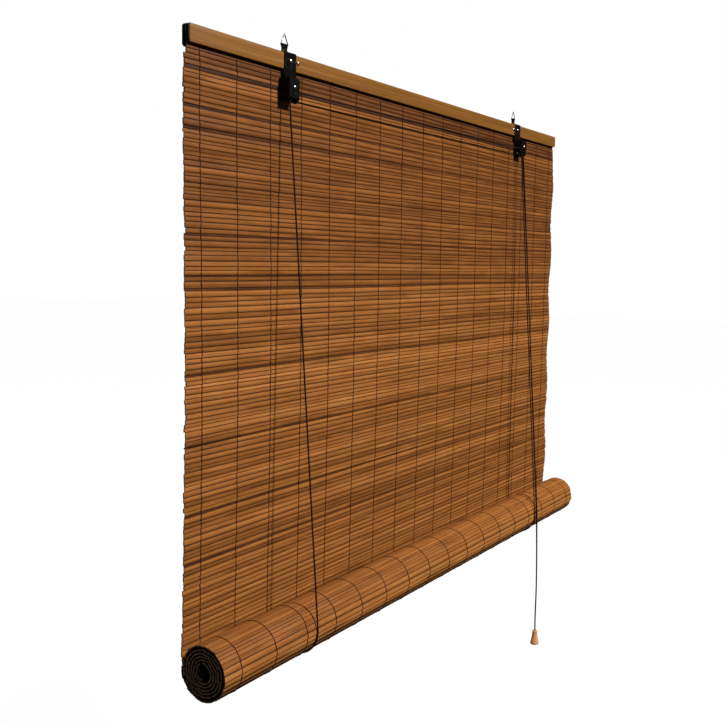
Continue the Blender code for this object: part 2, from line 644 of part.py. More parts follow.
def cord_anchor(side, rear):
    """Block screwed behind the rail; the lift cord hangs from a knot on top of it."""
    x = FRONT_STRAND_X[side]
    width, depth, height = ANCHOR_SIZE
    name = side + "_cord_anchor"
    front_y, back_y = ANCHOR_Y - depth / 2, ANCHOR_Y + depth / 2
    cord_x = x + OUTWARDS[side] * width / 4
    screw_x = x - OUTWARDS[side] * width / 4
    middle = ANCHOR_TOP - height / 2
    block = box(name, (x - width / 2, front_y, ANCHOR_TOP - height),
                (x + width / 2, back_y, ANCHOR_TOP), "black nylon")
    soften(block, ANCHOR_EDGE)
    bore = plug(CORD_RADIUS + SEAT, height / 2 + CUT_REACH)
    cut(block, turned(name + "_bore", bore, "up", None, (cord_x, ANCHOR_Y, middle)))
    hole_end = REAR_BACK_Y - ANCHOR_SCREW_BITE
    screw_hole = drill(name + "_screw_hole", SCREW_SHANK_RADIUS + SHANK_GAP, hole_end,
                       back_y + CUT_REACH, screw_x, middle)
    cut(block, screw_hole)
    cut(rear, screw_hole)
    length = back_y + SEAT - hole_end - SHANK_GAP
    screw(side + "_anchor_screw", screw_x, middle, back_y + SEAT, length, "back",
          ANCHOR_SCREW_HEAD)

    knot_z = ANCHOR_TOP + SEAT + KNOT_RADIUS
    turned(side + "_cord_knot", ball(KNOT_RADIUS), "up", "cord", (cord_x, ANCHOR_Y, knot_z))
    return Vector((cord_x, ANCHOR_Y, knot_z - KNOT_RADIUS - SEAT / 2))


def sling_point(x, angle):
    """Point of a cord under the roll, at an angle from the window side downwards."""
    turn = math.radians(angle)
    return Vector((x, ROLL_AXIS_Y + SLING_RADIUS * math.cos(turn),
                   ROLL_AXIS_Z - SLING_RADIUS * math.sin(turn)))


def lift_cords(rear, lift):
    for side in ("left", "right"):
        x = FRONT_STRAND_X[side]
        lane = {"left": "rear", "right": "front"}[side]
        top = cord_anchor(side, rear)
        low_back = sling_point(x, 0.0) + Vector((0.0, 0.0, SEAT / 2))
        under_anchor = top - Vector((0.0, 0.0, ANCHOR_SIZE[2] + ANCHOR_CORD_LEAD))
        tube(side + "_back_cord", [top, under_anchor, low_back], CORD_RADIUS)
        arc = [sling_point(x, 180.0 * step / 24) for step in range(25)]
        tube(side + "_sling", arc, CORD_RADIUS, parent=lift)
        up = pulley_arc(side, lane, 180.0, 180.0, 1)[0]
        low_front = sling_point(x, 180.0) + Vector((0.0, 0.0, SEAT / 2))
        tube(side + "_front_cord", [low_front, up - Vector((0.0, 0.0, SEAT / 2))], CORD_RADIUS)
    header = pulley_arc("left", "rear", 180.0, 90.0) + pulley_arc("right", "rear", 90.0, 0.0)
    tube("header_cord", header, CORD_RADIUS)
    tube("lock_turn_cord", pulley_arc("right", "front", 180.0, 0.0, 12), CORD_RADIUS)


def pull_cords(lift, pull):
    for name, points in TAIL_ROUTES.items():
        parent = lift if name.endswith("lower") else None
        tube(name, smooth_route(points, FREE_CORD_SPACING), CORD_RADIUS, parent=parent)

    shelf = -KNOB_HEIGHT + KNOB_CUP_DEPTH
    outside = [(radius, -KNOB_HEIGHT * share) for radius, share in KNOB_OUTLINE]
    inside = [(KNOB_CUP_RADIUS, -KNOB_HEIGHT), (KNOB_CUP_RADIUS, shelf), (KNOB_BORE, shelf)]
    profile = [(KNOB_BORE, 0.0)] + outside + inside
    turned("pull_knob", profile, "up", "pale wood", KNOB_TOP, pull, ring=True)
    centre = Vector(KNOB_TOP) + Vector((0.0, 0.0, shelf - SEAT - KNOB_KNOT_RADIUS))
    turned("pull_knot", ball(KNOB_KNOT_RADIUS), "up", "cord", centre, pull)


# ---- roll ---------------------------------------------------------------------------------
def turn_radius(angle):
    """Outer radius of the rolled curtain, at an angle wound on from the hanging stretch."""
    return ROLL_RADIUS - TURN_PITCH * angle / (2 * math.pi)


def rolled_curtain(axle):
    """Curtain wound forwards and inwards, flat from one slat's edge to the next."""
    angles = [0.0]
    while angles[-1] < ROLL_TURNS * 2 * math.pi:
        angles.append(angles[-1] + SLAT_PITCH / turn_radius(angles[-1]))
    outer = [(turn_radius(a) * math.cos(a), -turn_radius(a) * math.sin(a)) for a in angles]
    inner = [((turn_radius(a) - CURTAIN_THICK) * math.cos(a),
              -(turn_radius(a) - CURTAIN_THICK) * math.sin(a)) for a in angles]
    place = (0.0, ROLL_AXIS_Y, ROLL_AXIS_Z)
    outline_solid("curtain_roll", [outer + inner[::-1]], ROLL_WIDTH, "YZ", "slat wood", place, axle)
    return angles[-1]


def bottom_batten(axle, last_angle):
    """Batten on the curtain's lower edge, inside the last turn, one of its edges at the end."""
    inside = turn_radius(last_angle) - CURTAIN_THICK - SEAT
    half = BOTTOM_BATTEN_WIDTH / 2
    outer_face = math.sqrt(inside ** 2 - half ** 2)
    half_length = ROLL_WIDTH / 2
    piece = box("bottom_batten", (-half_length, -half, outer_face - BOTTOM_BATTEN_THICK),
                (half_length, half, outer_face), "rail wood")
    soften(piece, BATTEN_EDGE)
    offset = outer_face - BOTTOM_BATTEN_THICK / 2
    middle_angle = last_angle - math.asin(half / inside)
    facing = -middle_angle - math.pi / 2
    turn = Matrix.Rotation(facing, 4, "X")
    piece.matrix_world = (Matrix.Translation(axle.location) @ turn
                          @ Matrix.Translation((0.0, 0.0, offset)))
    piece.parent = axle
    piece.matrix_parent_inverse = Matrix.Translation(axle.location).inverted()


clear_scene()
PARTS = new_collection("woven_roll_up_blind")
CUTTERS = new_collection("cutters")

front_piece, rear_piece = head_rail()
curtain_piece = hanging_curtain()
for bracket_side in ("left", "right"):
    bracket(bracket_side, front_piece, rear_piece, curtain_piece)
lock_roller()

lift_pivot = pivot("lift_pivot", (0.0, ROLL_AXIS_Y, ROLL_AXIS_Z))
roll_pivot = pivot("roll_pivot", (0.0, ROLL_AXIS_Y, ROLL_AXIS_Z))
pull_pivot = pivot("pull_pivot", KNOB_TOP)
lift_cords(rear_piece, lift_pivot)
end_angle = rolled_curtain(roll_pivot)
bottom_batten(roll_pivot, end_angle)
pull_cords(lift_pivot, pull_pivot)
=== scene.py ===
# %% [markdown]
# # A woven roll-up blind
# The blind is a mat of thin wood slats that dark threads hold side by side.  A head rail clamps
# its top edge, two brackets hang the rail from wire rings, and two cords that pass under the
# rolled lower part lift it.  The frame below is the fixed model of the blind: every sub-part
# that moves is already in it, so this file only makes what the eye sees.

import json
import math
import random

import bmesh
import bpy
from mathutils import Matrix, Vector, noise


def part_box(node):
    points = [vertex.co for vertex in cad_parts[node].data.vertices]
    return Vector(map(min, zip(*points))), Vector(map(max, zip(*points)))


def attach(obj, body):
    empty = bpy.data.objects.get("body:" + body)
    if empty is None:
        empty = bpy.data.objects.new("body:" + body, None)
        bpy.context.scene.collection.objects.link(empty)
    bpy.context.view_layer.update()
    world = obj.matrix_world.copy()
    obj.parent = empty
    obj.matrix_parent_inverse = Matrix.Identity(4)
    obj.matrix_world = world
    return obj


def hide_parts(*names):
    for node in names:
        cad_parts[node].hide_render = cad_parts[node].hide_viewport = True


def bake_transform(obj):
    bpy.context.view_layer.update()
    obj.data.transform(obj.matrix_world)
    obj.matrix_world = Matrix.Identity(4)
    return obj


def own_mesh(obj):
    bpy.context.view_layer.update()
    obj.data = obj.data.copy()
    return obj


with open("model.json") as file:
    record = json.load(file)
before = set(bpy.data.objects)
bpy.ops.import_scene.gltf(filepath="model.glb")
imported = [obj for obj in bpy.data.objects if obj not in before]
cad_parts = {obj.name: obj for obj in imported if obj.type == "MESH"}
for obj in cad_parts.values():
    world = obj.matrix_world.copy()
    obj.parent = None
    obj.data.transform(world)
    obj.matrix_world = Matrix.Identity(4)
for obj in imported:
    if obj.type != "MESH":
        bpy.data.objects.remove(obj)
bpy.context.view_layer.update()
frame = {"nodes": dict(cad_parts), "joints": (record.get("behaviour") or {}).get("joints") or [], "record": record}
joints = {joint["name"]: joint for joint in frame["joints"]}
body_of = {node: body for body, nodes in frame["record"]["behaviour"]["bodies"].items()
           for node in nodes}

# %% [markdown]
# ## The camera
# The blind is seen from its left, a little above the middle of the curtain, so the rail and the
# roll run away from the eye.  A camera looks along its own -Z axis: turning it upright about X
# and then about the world's Z aims it, and a last small turn about its own Z levels it.

# %% Camera
CAMERA_PLACE = Vector((-1.4980, -0.8576, -0.3184))
CAMERA_YAW, CAMERA_PITCH, CAMERA_ROLL = (math.radians(a) for a in (57.023, -6.021, 1.032))
camera_data = bpy.data.cameras.new("camera")
camera_data.lens = 47.376
camera_data.sensor_width = 36.0
camera_data.clip_start = 0.05
camera = bpy.data.objects.new("camera", camera_data)
camera.matrix_world = (Matrix.Translation(CAMERA_PLACE)
                       @ Matrix.Rotation(-CAMERA_YAW, 4, "Z")
                       @ Matrix.Rotation(math.radians(90) + CAMERA_PITCH, 4, "X")
                       @ Matrix.Rotation(CAMERA_ROLL, 4, "Z"))
bpy.context.scene.collection.objects.link(camera)
bpy.context.scene.camera = camera
print("camera lens", camera_data.lens, "mm")

# %% [markdown]
# ## Helpers for materials
# A material is a small network of nodes.  These helpers add one node at a time and build the
# parts that every finish here needs: sums of values, stretched noise for grain, colour ramps,
# mixes of two colours, and a bump.

# %% Material helpers
def new_material(name, roughness=0.5, metallic=0.0, specular=0.5):
    """A Principled material and its node tree."""
    material = bpy.data.materials.new(name)
    material.use_nodes = True
    shader = material.node_tree.nodes["Principled BSDF"]
    shader.inputs["Roughness"].default_value = roughness
    shader.inputs["Metallic"].default_value = metallic
    shader.inputs["Specular IOR Level"].default_value = specular
    return material, material.node_tree, shader


def add_node(tree, kind, **settings):
    node = tree.nodes.new("ShaderNode" + kind)
    for key, value in settings.items():
        if hasattr(node, key):
            setattr(node, key, value)
        else:
            node.inputs[key.replace("_", " ")].default_value = value
    return node


def math_node(tree, operation, first, second=None, clamp=False):
    node = add_node(tree, "Math", operation=operation, use_clamp=clamp)
    for socket, value in zip(node.inputs, (first, second)):
        if value is None:
            continue
        if isinstance(value, (int, float)):
            socket.default_value = value
        else:
            tree.links.new(value, socket)
    return node.outputs[0]


def stretched_noise(tree, scale, detail=3.0, roughness=0.55, shift=None):
    """Noise on Object coordinates, with its own scale along each axis."""
    place = add_node(tree, "TexCoord").outputs["Object"]
    if shift is not None:
        offset = add_node(tree, "CombineXYZ")
        for socket in offset.inputs:
            tree.links.new(shift, socket)
        adder = add_node(tree, "VectorMath", operation="ADD")
        tree.links.new(place, adder.inputs[0])
        tree.links.new(offset.outputs[0], adder.inputs[1])
        place = adder.outputs[0]
    mapping = add_node(tree, "Mapping")
    mapping.inputs["Scale"].default_value = scale
    tree.links.new(place, mapping.inputs["Vector"])
    texture = add_node(tree, "TexNoise", Scale=1.0, Detail=detail, Roughness=roughness)
    tree.links.new(mapping.outputs[0], texture.inputs["Vector"])
    return texture.outputs["Fac"]


def ramp(tree, factor, stops):
    """Colour ramp through (position, colour) stops; a colour may be one grey value."""
    node = add_node(tree, "ValToRGB")
    elements = node.color_ramp.elements
    while len(elements) < len(stops):
        elements.new(0.5)
    for element, (position, colour) in zip(elements, stops):
        element.position = position
        if isinstance(colour, float):
            colour = (colour, colour, colour)
        element.color = (*colour, 1.0)
    tree.links.new(factor, node.inputs[0])
    return node.outputs[0]


def mixed(tree, blend_type, factor, first, second):
    """Mix of two colours; each may be a socket or a colour, and factor a socket or a number."""
    node = add_node(tree, "Mix", data_type="RGBA", blend_type=blend_type)
    for socket, value in ((node.inputs[0], factor), (node.inputs[6], first),
                          (node.inputs[7], second)):
        if isinstance(value, (int, float)):
            socket.default_value = value
        elif isinstance(value, tuple):
            socket.default_value = (*value, 1.0)
        else:
            tree.links.new(value, socket)
    return node.outputs[2]


def bumped(tree, shader, height, distance, strength=1.0):
    node = add_node(tree, "Bump", Strength=strength, Distance=distance)
    tree.links.new(height, node.inputs["Height"])
    tree.links.new(node.outputs[0], shader.inputs["Normal"])


print("material helpers ready")

# %% [markdown]
# ## Slat wood
# Each slat was sliced and stained by itself, so its tone differs from its neighbours', and it has
# fine streaks along its length.  Three attributes of the mesh carry what a texture can't know:
# `tone` is how dark the slat's own wood is, which changes a little along it (in the hanging
# curtain it also holds painted shade near the rail and on the near-black slats), `slat` moves the
# grain so that no two slats share it, and `across` runs from one long edge of the slat to the
# other, so that painted shade can darken the slat towards its edges, where the seams lie in shade.

# %% Slat wood
END_GRAIN = (0.620, 0.450, 0.360)     # the sawn ends are greyer and soaked up less colour


def slat_wood():
    material, tree, shader = new_material("slat_wood", roughness=0.56, specular=0.16)
    tone = add_node(tree, "Attribute", attribute_name="tone").outputs["Fac"]
    across = add_node(tree, "Attribute", attribute_name="across").outputs["Fac"]
    slat = add_node(tree, "Attribute", attribute_name="slat").outputs["Fac"]
    streaks = stretched_noise(tree, (7.0, 520.0, 520.0), 4.0, 0.62, slat)
    patches = stretched_noise(tree, (16.0, 45.0, 45.0), 2.0, 0.5, slat)
    flecks = stretched_noise(tree, (55.0, 1100.0, 1100.0), 2.0, 0.7, slat)
    shade = math_node(tree, "ADD", tone, math_node(tree, "MULTIPLY",
                      math_node(tree, "SUBTRACT", patches, 0.5), 0.30))
    shade = math_node(tree, "ADD", shade, math_node(tree, "MULTIPLY",
                      math_node(tree, "SUBTRACT", streaks, 0.5), 0.42), clamp=True)
    colour = ramp(tree, shade, [(0.0, (0.040, 0.0120, 0.0036)), (0.25, (0.135, 0.044, 0.0100)),
                                (0.55, (0.300, 0.108, 0.0235)), (1.0, (0.500, 0.205, 0.0500))])
    dark_flecks = ramp(tree, flecks, [(0.30, 0.50), (0.44, 1.0)])
    colour = mixed(tree, "MULTIPLY", 0.55, colour, dark_flecks)
    # Painted shade: the colour darkens towards each long edge of a slat, standing in for the shade in the seams
    # between slats.
    edge = ramp(tree, math_node(tree, "ABSOLUTE", across),
                [(0.25, 1.0), (0.38, 0.76), (0.47, 0.16)])
    colour = mixed(tree, "MULTIPLY", 1.0, colour, edge)
    facing = add_node(tree, "SeparateXYZ")
    tree.links.new(add_node(tree, "TexCoord").outputs["Normal"], facing.inputs[0])
    is_end = math_node(tree, "GREATER_THAN", math_node(tree, "ABSOLUTE", facing.outputs[0]), 0.7)
    pores = ramp(tree, flecks, [(0.40, 0.30), (0.60, 1.0)])
    colour = mixed(tree, "MIX", is_end, colour, mixed(tree, "MULTIPLY", 1.0, END_GRAIN, pores))
    tree.links.new(colour, shader.inputs["Base Color"])
    tree.links.new(ramp(tree, streaks, [(0.3, 0.46), (0.7, 0.62)]), shader.inputs["Roughness"])
    bumped(tree, shader, math_node(tree, "ADD", streaks, flecks), 0.00022, 0.8)
    return material


SLAT_WOOD = slat_wood()
print("made", SLAT_WOOD.name)

# %% [markdown]
# ## Rail, batten and knob wood
# The rail is a planed and varnished batten: golden brown, with long straight grain and a faint
# satin gloss.  Its ends, and a little way round their corners, are coloured black: painted shade
# for the deep shade on the end faces, so the material asks how far a point is from the middle of
# the blind.  The rear batten is coloured almost black all over, as painted shade for its shaded
# end.  The knob is turned from a paler wood, whose grain runs up and down.

# %% Planed and turned woods
END_SHADE_SHARPNESS = 1000.0        # the painted end shade has an edge about a millimetre soft


def planed_wood(name, dark, middle, light, roughness, along="x", shade_beyond=None):
    material, tree, shader = new_material(name, roughness=roughness, specular=0.2)
    scales = {"x": (3.0, 160.0, 160.0), "z": (260.0, 260.0, 12.0)}[along]
    fine = {"x": (14.0, 900.0, 900.0), "z": (900.0, 900.0, 60.0)}[along]
    figure = stretched_noise(tree, scales, 5.0, 0.62)
    pores = stretched_noise(tree, fine, 2.0, 0.6)
    colour = ramp(tree, figure, [(0.28, dark), (0.50, middle), (0.74, light)])
    pore_shade = ramp(tree, pores, [(0.32, 0.60), (0.50, 1.0)])
    colour = mixed(tree, "MULTIPLY", 0.5, colour, pore_shade)
    # Painted shade: black near the blind's ends, standing in for the shade on the end faces and their corners.
    if shade_beyond is not None:
        split = add_node(tree, "SeparateXYZ")
        tree.links.new(add_node(tree, "TexCoord").outputs["Object"], split.inputs[0])
        past = math_node(tree, "SUBTRACT", math_node(tree, "ABSOLUTE", split.outputs[0]),
                         shade_beyond)
        end_shade = ramp(tree, math_node(tree, "MULTIPLY", past, END_SHADE_SHARPNESS, clamp=True),
                     [(0.0, 1.0), (0.6, 0.02)])
        colour = mixed(tree, "MULTIPLY", 1.0, colour, end_shade)
    tree.links.new(colour, shader.inputs["Base Color"])
    tree.links.new(ramp(tree, figure, [(0.3, roughness + 0.08), (0.7, roughness - 0.05)]),
                   shader.inputs["Roughness"])
    bumped(tree, shader, math_node(tree, "ADD", figure, pores), 0.00012, 0.5)
    return material


RAIL_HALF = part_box("front_batten")[1].x
END_SHADE_WRAP = 0.0030              # how far the painted end shade wraps round the corner
# Both battens get painted shade at their ends; the rear batten is also darkened all over as painted shade for its
# shaded end.
RAIL_WOOD = planed_wood("rail_wood", (0.150, 0.060, 0.0100), (0.215, 0.088, 0.0150),
                        (0.275, 0.122, 0.0240), 0.50, shade_beyond=RAIL_HALF - END_SHADE_WRAP)
BATTEN_SHADE_WOOD = planed_wood("stained_wood", (0.010, 0.005, 0.003), (0.018, 0.009, 0.005),
                           (0.030, 0.016, 0.009), 0.62, shade_beyond=RAIL_HALF - END_SHADE_WRAP)
PALE_WOOD = planed_wood("pale_wood", (0.52, 0.215, 0.085), (0.62, 0.275, 0.115),
                        (0.70, 0.330, 0.150), 0.45, "z")
print("made", RAIL_WOOD.name, BATTEN_SHADE_WOOD.name, PALE_WOOD.name)

# %% [markdown]
# ## Metal, nylon, cord and thread
# The straps and housings are black lacquered steel, whose gloss is uneven from handling.  Screws
# and rivets are nickel plated, and the rings have a duller, darker plating.  The pulleys are
# moulded in black nylon.  Cord and thread get a fine twisted bump, and their colour darkens in the
# grooves between strands: painted shade, mixed with the fibres' own fuzz.

# %% Metal, nylon, cord and thread
def lacquered_steel():
    material, tree, shader = new_material("black_steel", roughness=0.45, specular=0.12)
    handling = stretched_noise(tree, (160.0, 160.0, 160.0), 4.0)
    specks = stretched_noise(tree, (2600.0, 2600.0, 2600.0), 2.0)
    colour = ramp(tree, handling, [(0.35, (0.0016, 0.0015, 0.0015)),
                                   (0.70, (0.0045, 0.0040, 0.0038))])
    tree.links.new(colour, shader.inputs["Base Color"])
    tree.links.new(ramp(tree, handling, [(0.3, 0.38), (0.7, 0.56)]), shader.inputs["Roughness"])
    bumped(tree, shader, specks, 0.00006, 0.6)
    return material


def plated_nickel(name, dark, light):
    material, tree, shader = new_material(name, roughness=0.20, metallic=1.0)
    wear = stretched_noise(tree, (500.0, 500.0, 500.0), 3.0)
    colour = ramp(tree, wear, [(0.3, (dark, dark * 0.96, dark * 0.90)),
                               (0.7, (light, light * 0.97, light * 0.91))])
    tree.links.new(colour, shader.inputs["Base Color"])
    tree.links.new(ramp(tree, wear, [(0.3, 0.24), (0.7, 0.40)]), shader.inputs["Roughness"])
    bumped(tree, shader, wear, 0.00003, 0.4)
    return material


def moulded_nylon():
    material, tree, shader = new_material("black_nylon", roughness=0.5, specular=0.4)
    texture = stretched_noise(tree, (1500.0, 1500.0, 1500.0), 3.0)
    colour = ramp(tree, texture, [(0.3, (0.012, 0.011, 0.011)), (0.7, (0.022, 0.020, 0.020))])
    tree.links.new(colour, shader.inputs["Base Color"])
    tree.links.new(ramp(tree, texture, [(0.3, 0.42), (0.7, 0.58)]), shader.inputs["Roughness"])
    bumped(tree, shader, texture, 0.00005, 0.5)
    return material


def twisted_yarn(name, dark, light, twist):
    """Yarn whose strands wind round it: the UV map's u runs round and v runs along, in metres."""
    material, tree, shader = new_material(name, roughness=0.85, specular=0.12)
    place = add_node(tree, "UVMap").outputs["UV"]
    split = add_node(tree, "SeparateXYZ")
    tree.links.new(place, split.inputs[0])
    phase = math_node(tree, "ADD", math_node(tree, "MULTIPLY", split.outputs[0], 4 * math.pi),
                      math_node(tree, "MULTIPLY", split.outputs[1], 2 * math.pi / twist))
    strands = math_node(tree, "ABSOLUTE", math_node(tree, "SINE", phase))
    fuzz = stretched_noise(tree, (1800.0, 1800.0, 1800.0), 3.0)
    height = math_node(tree, "ADD", strands, math_node(tree, "MULTIPLY", fuzz, 0.5))
    # Painted shade: the colour follows the twist's height, darker in the grooves between strands; the fuzz adds
    # the fibres' own variation.
    colour = ramp(tree, math_node(tree, "MULTIPLY", height, 0.7), [(0.1, dark), (0.9, light)])
    tree.links.new(colour, shader.inputs["Base Color"])
    bumped(tree, shader, height, 0.00025, 0.8)
    return material


BLACK_STEEL, BLACK_NYLON = lacquered_steel(), moulded_nylon()
NICKEL = plated_nickel("nickel", 0.42, 0.62)
RING_WIRE = plated_nickel("ring_wire", 0.10, 0.20)
CORD = twisted_yarn("cord", (0.0045, 0.0016, 0.0010), (0.026, 0.0090, 0.0056), 0.0030)
THREAD = twisted_yarn("thread", (0.0090, 0.0026, 0.0012), (0.045, 0.0130, 0.0060), 0.0022)
print("made", BLACK_STEEL.name, BLACK_NYLON.name, NICKEL.name, RING_WIRE.name, CORD.name,
      THREAD.name)

# %% [markdown]
# ## Helpers for pieces
# A finished bmesh becomes an object at the origin, with its place in its mesh, and gets its
# material.  It then rides on a body of the frame, if it is given one, and stands for the nodes
# that it replaces, which are hidden.  A cord is a circle pulled along a route, ring by ring, which
# keeps its UV map free of twist.

# %% Piece helpers
SMOOTH_ANGLE = 40               # degrees; a sharper corner keeps its edge


def finish_piece(bm, name, material, slot, body=None, stands_for=(), smooth_angle=None):
    """Make an object of a bmesh.  A piece without a body may be hung on one later."""
    mesh = bpy.data.meshes.new(name)
    bm.to_mesh(mesh)
    bm.free()
    mesh.shade_smooth()
    if smooth_angle is not None:
        mesh.set_sharp_from_angle(angle=math.radians(smooth_angle))
    mesh.materials.append(material)
    piece = bpy.data.objects.new(name, mesh)
    bpy.context.scene.collection.objects.link(piece)
    if stands_for:
        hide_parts(*stands_for)
    if body is not None:
        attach(piece, body)
    return piece


def frames_along(route):
    """A matrix at each point of the route: Z along it, and as little twist as possible."""
    points = [Vector(point) for point in route]
    side = (points[1] - points[0]).orthogonal().normalized()
    frames = []
    for index, point in enumerate(points):
        ahead = (points[min(index + 1, len(points) - 1)] - points[max(index - 1, 0)]).normalized()
        side = (side - ahead * side.dot(ahead)).normalized()
        turned = Matrix((side, ahead.cross(side), ahead)).transposed().to_4x4()
        frames.append(Matrix.Translation(point) @ turned)
    return frames


def add_tube(bm, route, radius, sides):
    """Draw a circle along a route, ring by ring.  Its UV map has metres along the cord in v."""
    tube = bmesh.new()
    turn = tube.verts.layers.float.new("turn")
    along = tube.verts.layers.float.new("along")
    frames = frames_along(route)
    ring = bmesh.ops.create_circle(tube, segments=sides, radius=radius, cap_ends=True,
                                   matrix=frames[0])["verts"]
    for step, vert in enumerate(ring):
        vert[turn] = step / sides
    edges, travelled = list(tube.edges), 0.0
    for before, after in zip(frames, frames[1:]):
        grown = bmesh.ops.extrude_edge_only(tube, edges=edges)["geom"]
        ring = [item for item in grown if isinstance(item, bmesh.types.BMVert)]
        edges = [item for item in grown if isinstance(item, bmesh.types.BMEdge)]
        bmesh.ops.transform(tube, matrix=after @ before.inverted(), verts=ring)
        travelled += (after.translation - before.translation).length
        for vert in ring:
            vert[along] = travelled
    bmesh.ops.contextual_create(tube, geom=edges)
    bmesh.ops.recalc_face_normals(tube, faces=tube.faces)
    uv = tube.loops.layers.uv.new("UVMap")
    for face in tube.faces:
        crosses_seam = max(v[turn] for v in face.verts) - min(v[turn] for v in face.verts) > 0.5
        for loop in face.loops:
            u = loop.vert[turn]
            loop[uv].uv = (u + 1.0 if crosses_seam and u < 0.5 else u, loop.vert[along])
    mesh = bpy.data.meshes.new("tube")
    tube.to_mesh(mesh)
    tube.free()
    bm.from_mesh(mesh)
    bpy.data.meshes.remove(mesh)


def smooth_route(points, spacing):
    """Even points along the smooth curve that passes through the chosen ones."""
    chosen = [Vector(point) for point in points]
    ends = [2 * chosen[0] - chosen[1]] + chosen + [2 * chosen[-1] - chosen[-2]]
    route = []
    for a, b, c, d in zip(ends, ends[1:], ends[2:], ends[3:]):
        steps = max(1, round((c - b).length / spacing))
        for step in range(steps):
            t = step / steps
            route.append(0.5 * (2 * b + (c - a) * t + (2 * a - 5 * b + 4 * c - d) * t ** 2
                                + (3 * b - a - 3 * c + d) * t ** 3))
    route.append(chosen[-1])
    return route


def centre_of(node):
    low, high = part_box(node)
    return (low + high) / 2


print("piece helpers ready")

# %% [markdown]
# ## Where things are
# Every place is read from the frame, so that the pieces stay where its bodies turn and slide: the
# roll's and the pulleys' axes come from their joints, and the radii from the nodes' boxes.

# %% Places
CORD_CORE = 0.00085             # the frame's cord solids
CORD_RADIUS = 0.0012            # the braid's loose fibres stand a little proud of them
CORD_SIDES = 8
ROLL_AXIS = Vector(joints["roll_turn"]["pos_m"])
PULLEY = {side: Vector(joints[side + "_pulley_turn"]["pos_m"]) for side in ("left", "right")}
curtain_low, curtain_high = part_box("curtain_hanging")
roll_low, roll_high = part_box("curtain_roll")
turn_low, turn_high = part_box("lock_turn_cord")
WRAP_RADIUS = (turn_high.x - turn_low.x) / 2 - CORD_CORE
LANE_Y = {"front": (turn_low.y + turn_high.y) / 2, "rear": centre_of("header_cord").y}
STRAND_X = {side: centre_of(side + "_sling").x for side in ("left", "right")}
sling_low, sling_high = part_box("left_sling")
SLING_RADIUS = (sling_high.y - sling_low.y) / 2 - CORD_CORE
LIFT_TRAVEL = joints["roll_lift"]["range_m"][1]
print("roll axis", ROLL_AXIS, "sling radius", round(SLING_RADIUS, 5),
      "wrap radius", round(WRAP_RADIUS, 5))

# %% [markdown]
# ## The pull cords
# Two cords leave the lock, slant forwards over the roll's front and hang side by side to the
# knob.  Above the roll they shorten as the blind is pulled up, and that stretch hangs from the
# rail; below it they run out with the knob, and that stretch is left without a body.  Their points
# were chosen, as a cord lies, and a smooth curve passes through them.

# %% Pull cords
TAIL_ROUTES = {
    "right_tail_upper": [
        (0.4000, -0.02095, -0.0820), (0.3999, -0.0219, -0.0960), (0.3995, -0.0263, -0.1510),
        (0.3988, -0.0376, -0.2910), (0.3977, -0.0540, -0.4970), (0.3968, -0.0700, -0.6980),
        (0.3963, -0.0795, -0.8160), (0.3961, -0.08255, -0.8531)],
    "left_tail_upper": [
        (0.4000, -0.01885, -0.0820), (0.3999, -0.0200, -0.0960), (0.4001, -0.0246, -0.1510),
        (0.4008, -0.0362, -0.2910), (0.4008, -0.0531, -0.4970), (0.4001, -0.0696, -0.6980),
        (0.3997, -0.0795, -0.8160), (0.3995, -0.08255, -0.8531)],
    "right_tail_lower": [
        (0.3961, -0.08255, -0.8535), (0.3965, -0.0830, -0.8760), (0.3983, -0.0838, -0.9100),
        (0.4003, -0.0845, -0.9500), (0.4016, -0.0851, -0.9900), (0.4008, -0.0860, -1.0250),
        (0.4001, -0.0861, -1.0630), (0.4012, -0.0858, -1.0940), (0.40208, -0.0860, -1.1110),
        (0.40208, -0.0860, -1.1275)],
    "left_tail_lower": [
        (0.3995, -0.08255, -0.8535), (0.3995, -0.0830, -0.8760), (0.4007, -0.0838, -0.9100),
        (0.4024, -0.0845, -0.9500), (0.4036, -0.0851, -0.9900), (0.4029, -0.0860, -1.0250),
        (0.4023, -0.0861, -1.0630), (0.4033, -0.0858, -1.0940), (0.40392, -0.0860, -1.1110),
        (0.40392, -0.0860, -1.1275)],
}
CORD_SPACING = 0.004


def route_length(route):
    return sum((b - a).length for a, b in zip(route, route[1:]))


def shorten(piece, top_z, bottom_z):
    """Hang an upright piece on the rail's body and give it a mesh of its own."""
    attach(piece, "head_rail_assembly")
    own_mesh(piece)


tails = {}
for name, chosen in TAIL_ROUTES.items():
    route = smooth_route(chosen, CORD_SPACING)
    bm = bmesh.new()
    add_tube(bm, route, CORD_RADIUS, CORD_SIDES)
    cord = finish_piece(bm, name + "_cord", CORD, "cord", None, [name])
    if name.endswith("upper"):
        shorten(cord, route[0].z, route[-1].z)
    tails[name] = (cord, route)
    print(name, "is", round(route_length(route), 3), "m long")

# %% [markdown]
# ## The knob
# A small bell of pale wood is turned on a lathe, and here too a profile is spun round an axis.
# Both cords come in through a bore at the top, and the cup below hides the knot that joins them.
# The anchors behind the rail have knots of the same kind.

# %% Knob and knot
knob_low, knob_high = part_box("pull_knob")
KNOB_AXIS = Vector(((knob_low.x + knob_high.x) / 2, (knob_low.y + knob_high.y) / 2, 0.0))
KNOB_HEIGHT = knob_high.z - knob_low.z
KNOB_PROFILE = [                # radius, and height as a share, from the cord's bore outwards
    (0.0021, 0.50), (0.0021, 0.985), (0.0026, 1.0), (0.0044, 1.0), (0.0050, 0.985),
    (0.0053, 0.955), (0.0054, 0.90), (0.0054, 0.83), (0.0055, 0.76), (0.0057, 0.68),
    (0.0061, 0.58), (0.0067, 0.47), (0.0074, 0.36), (0.0081, 0.26), (0.0087, 0.16),
    (0.0090, 0.09), (0.0089, 0.04), (0.0086, 0.01), (0.0081, 0.0), (0.0050, 0.0),
    (0.0045, 0.012), (0.0044, 0.04), (0.0044, 0.50)]


